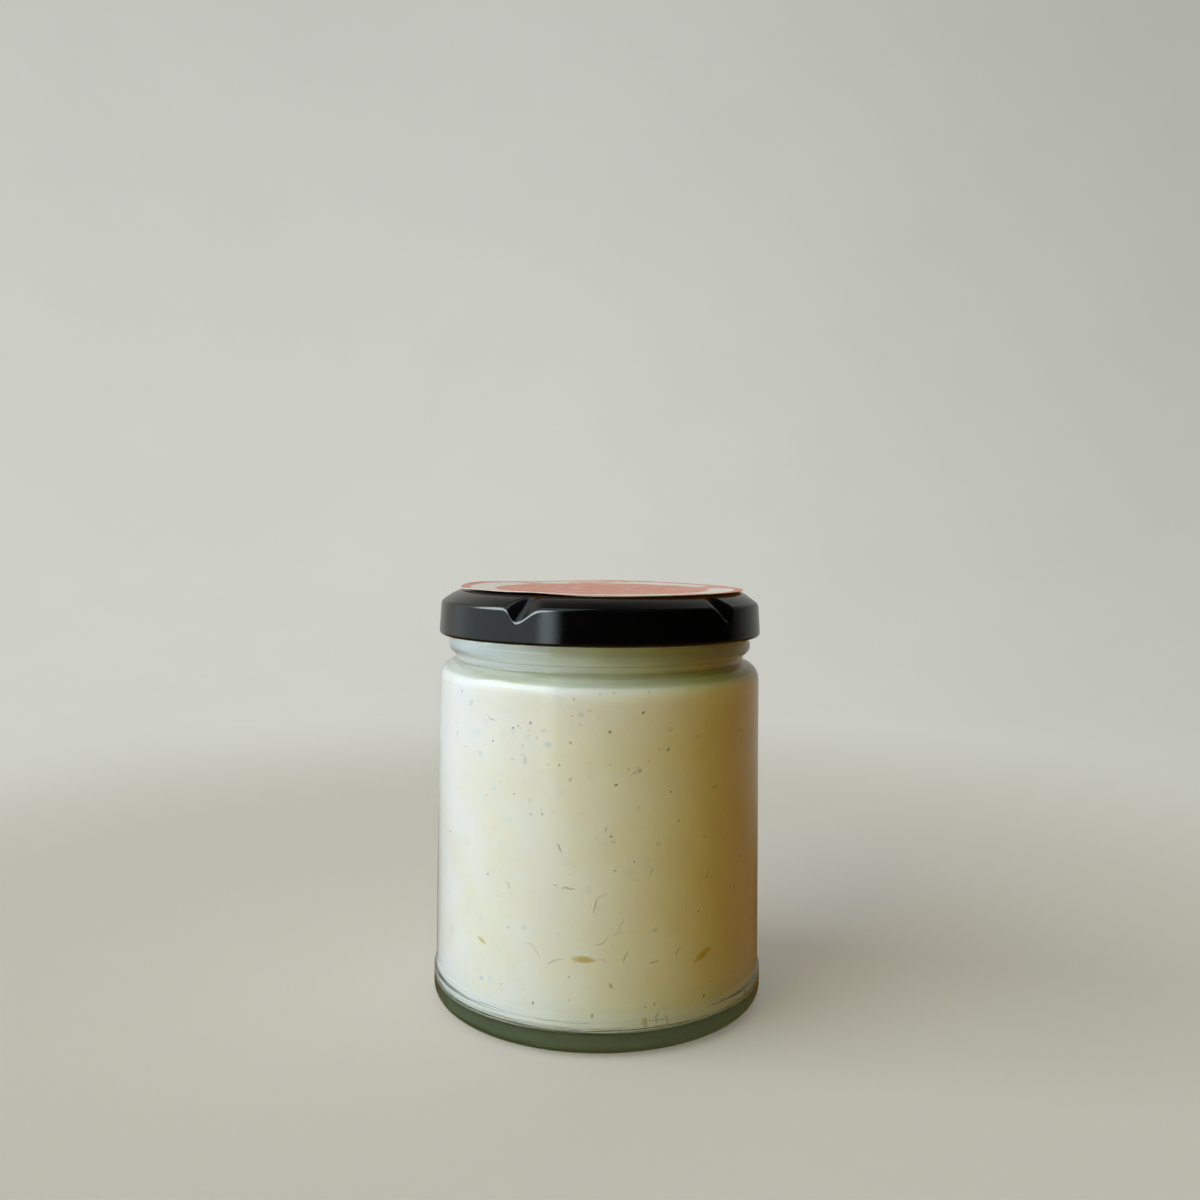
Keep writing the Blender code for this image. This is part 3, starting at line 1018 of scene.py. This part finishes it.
def enamelMaterial(k):
    material, tree, shader, place = newMaterial("glossBlackEnamel")
    dust = patchesOf(tree, place, *k["dust"])
    dust = times(tree, dust, patchesOf(tree, place, *k["dustPatches"]))
    colour = mixColour(tree, dust, k["black"], k["dusty"])
    rough = patchesOf(tree, place, *k["roughness"])
    orangePeel = grainOf(tree, place, *k["orangePeel"])
    softWave = grainOf(tree, place, *k["softWave"], orangePeel)
    feedAll(tree, shader, Base_Color=colour, IOR=k["gloss"], Roughness=rough, Normal=softWave)
    return material


def lacquerMaterial(k):
    material, tree, shader, place = newMaterial("goldLacquer")
    shade = noiseOf(tree, place, *k["lacquerNoise"])
    colour = mixColour(tree, shade, k["lacquer"], k["lacquerDark"])
    feedAll(tree, shader, Base_Color=colour, Metallic=k["lacquerMetal"], Roughness=k["lacquerRoughness"])
    return material


def buildLid(k):
    corners = lidOutline(k, 0.0)
    curlStart = next(index for index, corner in enumerate(corners) if corner[1] == k["curlZ"]) + 1
    insideRow = len(roundCorners(corners[:curlStart + 1], k["arcSteps"])) - 1

    def rounded(azimuth):
        return roundCorners(lidOutline(k, azimuth), k["arcSteps"])

    def slotOfRow(row):
        return 1 if row >= insideRow else 0

    materials = [enamelMaterial(k), lacquerMaterial(k)]
    return turnedPiece("twistLid", lidAzimuths(k), rounded, materials, slotOfRow)


dress(buildLid(twistLid), "lid")
print("lid done")


# round paper sticker on the lid
lidSticker = {
    "radius": stickerBox["right"] - 0.4,
    "centre": (0.4, -0.1),
    "middleZ": twistLid["panelZ"] + 0.03,
    "edgeRise": 0.28,
    "paper": 0.13,
    "power": 5.0,
    "waviness": 0.05,
    "ripplePitch": 0.16,
    "ringShares": (0.0, 0.2, 0.4, 0.55, 0.7, 0.8, 0.87, 0.92, 0.96, 0.985, 1.0),
    "segments": 240,
    "sharpAngle": 40.0,
    "coral": (0.86, 0.34, 0.25),
    "coralPale": (0.95, 0.62, 0.50),
    "worn": ((260.0, 5.0, 0.7), (0.40, 0.75)),
    "offWhite": (0.95, 0.86, 0.78),
    "ringInner": (24.0, 25.0),
    "ringOuter": (30.0, 30.5),
    "ringBreaks": ((70.0, 3.0), (0.36, 0.56)),
    "roughness": 0.65,
    "fibres": ((1800.0, 4.0, 0.7), (0.15, 0.0001)),
    "backShade": (0.66, 0.52, 0.44),
    "backNoise": (900.0, 3.0),
    "backRoughness": 0.8,
}

# where the edge has come up or drooped: azimuth, height and width in degrees
edgeLifts = {
    "overFrontDent": (-28.0, 0.36, 14.0),
    "frontLeft": (-56.0, 0.34, 16.0),
    "leftTip": (-112.0, 0.60, 26.0),
    "frontDroop": (5.0, -0.14, 22.0),
    "backRise": (172.0, 0.40, 34.0),
}


def stickerHeight(t, r, azimuth):
    share = r / t["radius"]
    rise = t["edgeRise"]
    for middle, height, width in edgeLifts.values():
        rise += height * math.exp(-((turnFrom(azimuth, middle) / width) ** 2))
    ripple = noise.noise(onRing(azimuth, r, 0.0) / mm * t["ripplePitch"]) * t["waviness"]
    return t["middleZ"] + rise * share ** t["power"] + ripple * share * share


def stickerMaterial(t):
    material, tree, shader, place = newMaterial("coralPaper")
    x, y = axesOf(tree, place)[:2]
    x = calc(tree, "SUBTRACT", x, t["centre"][0] * mm)
    y = calc(tree, "SUBTRACT", y, t["centre"][1] * mm)
    away = calc(tree, "SQRT", plus(tree, times(tree, x, x), times(tree, y, y)))
    # a pale ring, broken in places, on worn coral
    ring = remap(tree, away, *inMetres(t["ringInner"]))
    ring = times(tree, ring, fallOff(tree, away, inMetres(t["ringOuter"])))
    ring = times(tree, ring, patchesOf(tree, place, *t["ringBreaks"]))
    worn = patchesOf(tree, place, *t["worn"])
    colour = mixColour(tree, worn, t["coral"], t["coralPale"])
    colour = mixColour(tree, ring, colour, t["offWhite"])
    fibres = grainOf(tree, place, *t["fibres"])
    feedAll(tree, shader, Base_Color=colour, Roughness=t["roughness"], Normal=fibres)
    return material


def paperMaterial(t):
    material, tree, shader, place = newMaterial("paperBack")
    shade = noiseOf(tree, place, *t["backNoise"])
    colour = mixColour(tree, shade, t["offWhite"], t["backShade"])
    feedAll(tree, shader, Base_Color=colour, Roughness=t["backRoughness"])
    return material


def buildSticker(t):
    radii = [t["radius"] * share for share in t["ringShares"]]

    def sheet(azimuth):
        top = [(r, stickerHeight(t, r, azimuth) + t["paper"]) for r in radii]
        under = [(r, z - t["paper"]) for r, z in reversed(top)]
        return [Vector(point) for point in top + under]

    def slotOfRow(row):
        return 0 if row < len(radii) - 1 else 1

    materials = [stickerMaterial(t), paperMaterial(t)]
    piece = turnedPiece("paperSticker", evenAzimuths(t["segments"]), sheet, materials, slotOfRow)
    piece.data.transform(Matrix.Translation(Vector((*t["centre"], 0.0)) * mm))
    piece.data.set_sharp_from_angle(angle=math.radians(t["sharpAngle"]))
    return piece


dress(buildSticker(lidSticker), "sticker")
print("sticker done")


# floor, backdrop and light
studio = {
    "floorHole": 0.0005,
    "floorRadius": 0.40,
    "fadeFrom": 0.17,
    "sweepRadius": 0.85,
    "wallHeight": 1.15,
    "floorSteps": 8,
    "bendSteps": 24,
    "wallSteps": 4,
    "segments": 128,
    "floorTone": (0.70, 0.63, 0.54),
    # a painted shadow under the jar: the floor tone is darkest inside the first radius
    "underShade": (0.028, 0.039, 0.08),
    "underJar": (0.038, 0.048),
    # share of glow in the floor near the jar, painted light for the light bounced onto it
    "floorGlow": 0.22,
    "floorRoughness": 0.9,
    # the glowing backdrop's painted light, from its lit left to its shaded right
    "wallLeftLit": (0.62, 0.625, 0.575),
    "wallRightShaded": (0.43, 0.44, 0.39),
    "wallAcross": (-0.15, 0.85),
    "wallUp": (0.0, 0.9),
    "wallTopShade": 0.84,
    "plaster": ((9.0, 5.0, 0.6), (0.2, 0.8), (0.985, 1.015)),
    "seenLeft": (-138.0, -112.0),
    "litLeft": (-108.0, -98.0),
    "windowRight": (-36.0, -25.0),
    "litRight": ((-33.5, -28.0), (-33.5, -28.0), (-49.0, -44.0)),
    "windowLow": 0.42,
    "skyRight": (-42.0, -32.0),
    "skyLeft": (-108.0, -98.0),
    "skySeen": 4.2,
    "skySeenRise": (0.22, 0.42),
    "skySeenTop": (0.62, 0.78),
    "skyLit": 8.7,
    "skyLitRise": (-0.02, 0.30),
    "skyLitTop": (0.58, 0.80),
    "curtainEdge": (-46.0, -38.0),
    "curtainTop": (0.1, 0.4),
    "curtainGain": 0.75,
    "seenColour": (0.86, 1.0, 1.02),
    "litColour": (0.92, 1.04, 1.78),
    "backGlow": 0.42,
    "fill": 2.0,
    "fillFrom": (125.0, 140.0),
    "fillTo": (165.0, 178.0),
    "fillTop": (0.3, 0.6),
    "backReach": (0.15, 1.0),
    "backAcross": (-0.7, 0.7),
    "backSides": (1.08, 0.72),
    "ceilingGlow": 0.014,
    "ceilingReach": (0.62, 0.92),
    "overhead": 0.75,
    "overheadReach": (0.78, 0.95),
    "dimRoom": 0.004,
    "roomColour": (1.0, 1.0, 0.92),
    "bounce": (1.12, 0.48, 0.045),
    "bounceReflected": 0.08,
    "bounceFrom": (-0.30, -0.16),
}


def sweepOutline(u):
    # flat floor, a quarter bend and an upright wall, in metres
    floorRows, bendRows, wallRows = u["floorSteps"], u["bendSteps"], u["wallSteps"]
    bend = u["sweepRadius"] - u["floorRadius"]
    rows = [(u["floorHole"], 0.0)]
    rows += [(u["floorRadius"] * index / floorRows, 0.0) for index in range(1, floorRows + 1)]
    for index in range(1, bendRows + 1):
        angle = math.radians(90.0 * index / bendRows)
        rows.append((u["floorRadius"] + bend * math.sin(angle), bend * (1.0 - math.cos(angle))))
    for index in range(1, wallRows + 1):
        rows.append((u["sweepRadius"], bend + (u["wallHeight"] - bend) * index / wallRows))
    return rows


def stageMesh(name, rows, count, material):
    verts = []
    faces = []
    for index in range(count):
        verts += [onRing(360.0 * index / count, r / mm, z / mm) for r, z in rows]
    for index in range(count):
        here = index * len(rows)
        there = (index + 1) % count * len(rows)
        for row in range(len(rows) - 1):
            faces.append((here + row, there + row, there + row + 1, here + row + 1))
    mesh = bpy.data.meshes.new(name)
    mesh.from_pydata(verts, [], faces)
    mesh.materials.append(material)
    mesh.shade_smooth()
    made = bpy.data.objects.new(name, mesh)
    bpy.context.scene.collection.objects.link(made)
    made.visible_glossy = False
    made.visible_diffuse = False
    made.visible_shadow = False


def sweepMaterial(name, u, fade):
    # the floor takes the jar's shadow near it, deepened by a painted shadow right under the jar, and fades
    # into a glowing backdrop painted lighter on the left and darker to the right and towards the top
    material, tree, shader, place = newMaterial(name)
    x, y, z = axesOf(tree, place)
    # painted light on the glowing backdrop: lighter on the left, darker to the right and towards the top
    paintedWallLight = mixColour(tree, remap(tree, x, *u["wallAcross"]), u["wallLeftLit"], u["wallRightShaded"])
    shade = remap(tree, z, *u["wallUp"], 1.0, u["wallTopShade"])
    plaster = patchesOf(tree, place, *u["plaster"])
    glow = addNode(tree, "Emission", Color=paintedWallLight, Strength=times(tree, shade, plaster))
    flat = addNode(tree, "CombineXYZ", X=x, Y=y).outputs["Vector"]
    away = addNode(tree, "VectorMath", {"operation": "LENGTH"}, Vector=flat).outputs["Value"]
    # painted shadow: the floor tone darkens right under the jar
    floorTone = scaled(tree, u["floorTone"], remap(tree, away, *u["underShade"], 1.0))
    feedAll(tree, shader, Base_Color=floorTone, Roughness=u["floorRoughness"], Specular_IOR_Level=0.0)
    shown = glow.outputs["Emission"]
    # painted light: near the jar the floor glows in part, standing for light bounced onto it, and fully
    # further out
    if fade:
        outwards = remap(tree, away, u["fadeFrom"], u["floorRadius"], u["floorGlow"], 1.0)
        shown = mixShader(tree, outwards, shader.outputs["BSDF"], shown)
    # light that has already left the sauce or the paper comes from the world alone
    depth = addNode(tree, "LightPath").outputs["Diffuse Depth"]
    passed = times(tree, calc(tree, "GREATER_THAN", depth, 0.5), remap(tree, away, *u["underJar"]))
    clear = addNode(tree, "BsdfTransparent").outputs["BSDF"]
    feedAll(tree, tree.nodes["Material Output"], Surface=mixShader(tree, passed, shown, clear))
    material.cycles.emission_sampling = "NONE"
    return material


def buildStudio(u):
    rows = sweepOutline(u)
    bendStart = u["floorSteps"]
    stageMesh("floor", rows[:bendStart + 1], u["segments"], sweepMaterial("paleFloor", u, True))
    stageMesh("wall", rows[bendStart:], u["segments"], sweepMaterial("paleWall", u, False))


def buildLight(u):
    world = bpy.data.worlds.new("studioLight")
    bpy.context.scene.world = world
    world.use_nodes = True
    tree = world.node_tree
    direction = addNode(tree, "TexCoord").outputs["Generated"]
    x, y, z = axesOf(tree, direction)
    azimuth = azimuthOf(tree, x, y)
    # reflections show the room as it is seen, and light scattered by a surface the room as it lights
    depth = addNode(tree, "LightPath").outputs["Diffuse Depth"]
    scattered = calc(tree, "MINIMUM", depth, 1.0)
    # a tall soft window on the left, with the sky in it and a bright curtain along its right
    skyAcross = times(tree, remap(tree, azimuth, *u["skyLeft"]), fallOff(tree, azimuth, u["skyRight"]))
    curtain = remap(tree, azimuth, *u["curtainEdge"], 0.0, u["curtainGain"])
    curtain = times(tree, curtain, fallOff(tree, z, u["curtainTop"]))

    def skyIn(name, sideways):
        rise = remap(tree, z, *u[name + "Rise"])
        return times(tree, rise, fallOff(tree, z, u[name + "Top"]), sideways, u[name])

    seen = plus(tree, skyIn("skySeen", skyAcross), curtain, u["windowLow"])
    seen = times(tree, seen, fallOff(tree, azimuth, u["windowRight"]), remap(tree, azimuth, *u["seenLeft"]))
    # inside the cream blue light fades before red and green, so it stops at an edge of its own
    red, green, blue = [fallOff(tree, azimuth, edges) for edges in u["litRight"]]
    reach = addNode(tree, "CombineXYZ", X=red, Y=green, Z=blue).outputs["Vector"]
    lit = plus(tree, skyIn("skyLit", 1.0), u["windowLow"])
    lit = scaled(tree, u["litColour"], times(tree, lit, remap(tree, azimuth, *u["litLeft"])))
    lit = vectorCalc(tree, "MULTIPLY", lit, reach)
    window = mixColour(tree, scattered, scaled(tree, u["seenColour"], seen), lit)
    # a dim room, with a pale wall behind the jar, a ceiling that reflections show, and light from above
    behind = remap(tree, y, *u["backReach"], 0.0, u["backGlow"])
    behind = times(tree, behind, remap(tree, x, *u["backAcross"], *u["backSides"]))
    ceiling = remap(tree, z, *u["ceilingReach"], 0.0, u["ceilingGlow"])
    ceiling = times(tree, ceiling, calc(tree, "SUBTRACT", 1.0, scattered))
    overhead = times(tree, remap(tree, z, *u["overheadReach"], 0.0, u["overhead"]), scattered)
    # a second window far behind on the right, which lights the side that the camera doesn't see
    fill = times(tree, remap(tree, azimuth, *u["fillFrom"]), fallOff(tree, azimuth, u["fillTo"]))
    fill = times(tree, fill, fallOff(tree, z, u["fillTop"]), u["fill"], scattered)
    room = plus(tree, behind, ceiling, overhead, fill, u["dimRoom"])
    light = vectorCalc(tree, "ADD", window, scaled(tree, u["roomColour"], room))
    # warm light thrown up from what the jar stands on
    fromBelow = fallOff(tree, z, u["bounceFrom"])
    strength = remap(tree, scattered, 0.0, 1.0, u["bounceReflected"], 1.0)
    light = mixColour(tree, fromBelow, light, scaled(tree, u["bounce"], strength))
    feedAll(tree, tree.nodes["Background"], Color=light)


buildStudio(studio)
buildLight(studio)
scene = bpy.context.scene
scene.view_settings.view_transform = "Standard"
scene.cycles.use_denoising = True
scene.cycles.max_bounces = 16
scene.cycles.diffuse_bounces = 7
scene.cycles.glossy_bounces = 7
scene.cycles.transmission_bounces = 12
print("studio done")
